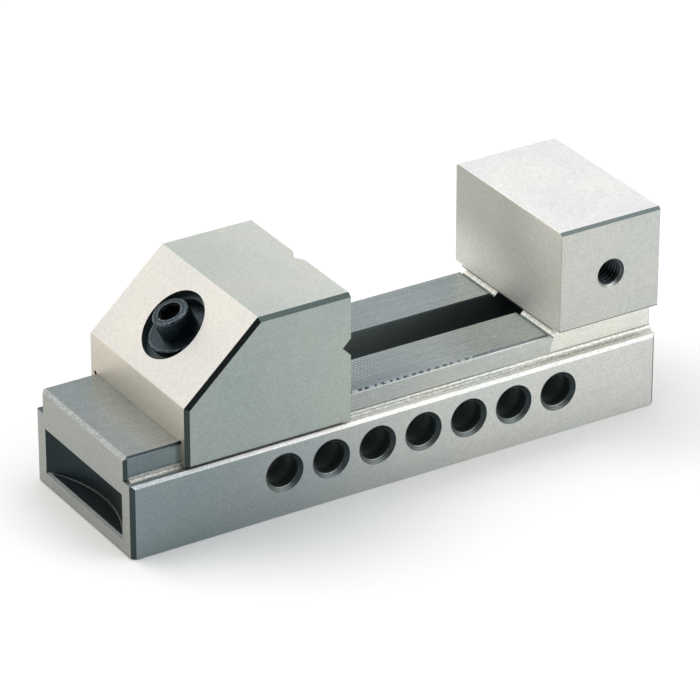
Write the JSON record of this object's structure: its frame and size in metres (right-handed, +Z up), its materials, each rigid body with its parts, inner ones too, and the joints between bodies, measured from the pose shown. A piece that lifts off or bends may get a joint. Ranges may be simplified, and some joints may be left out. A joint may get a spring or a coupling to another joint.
{
  "type": "toolmakers vise",
  "caption": "Ground steel toolmakers vise with an integral fixed jaw, a sliding jaw drawn down by a slanted socket-head screw, and index holes along the base for its cross pin.",
  "frame": {"origin": "middle of the base's underside", "axes": "+X along the base from the front end towards the fixed jaw, -Y the side with the tapped work-stop hole, +Z up"},
  "size_m": [0.158, 0.05, 0.058],
  "materials": {
    "ground_steel": "fine surface-ground steel",
    "black_oxide": "black oxide alloy steel",
    "hardened_steel": "turned and hardened steel",
    "rubber": "moulded nitrile rubber"
  },
  "bodies": {
    "base": {"body": "ground_steel"},
    "jaw": {"movable_jaw": "ground_steel"},
    "washer": {"spherical_washer": "black_oxide"},
    "screw": {"clamp_screw": "black_oxide"},
    "hook": {"pull_hook": "hardened_steel"},
    "pin": {"locating_pin": "hardened_steel", "pin_retaining_ring": "rubber"}
  },
  "joints": [
    {"name": "jaw_slide", "type": "slide", "parent": "base", "child": "jaw", "axis": [1, 0, 0], "range_m": [0, 0.063]},
    {"name": "screw_swing", "type": "hinge", "parent": "jaw", "child": "washer", "pos_m": [-0.0507, 0, 0.0469], "axis": [0, -1, 0], "range_deg": [0, 16]},
    {"name": "screw_turn", "type": "hinge", "parent": "washer", "child": "screw", "pos_m": [-0.0507, 0, 0.0469], "axis": [-0.4337, 0, 0.9011], "range_deg": [0, 1441]},
    {"name": "hook_slide", "type": "slide", "parent": "washer", "child": "hook", "axis": [0.4337, 0, -0.9011], "range_m": [0, 0.004]},
    {"name": "pin_slide", "type": "slide", "parent": "base", "child": "pin", "axis": [0, -1, 0], "range_m": [0, 0.05]}
  ],
  "couplings": [
    {"joint": "screw_turn", "follows": "hook_slide", "rad_per_m": 6283.2}
  ]
}
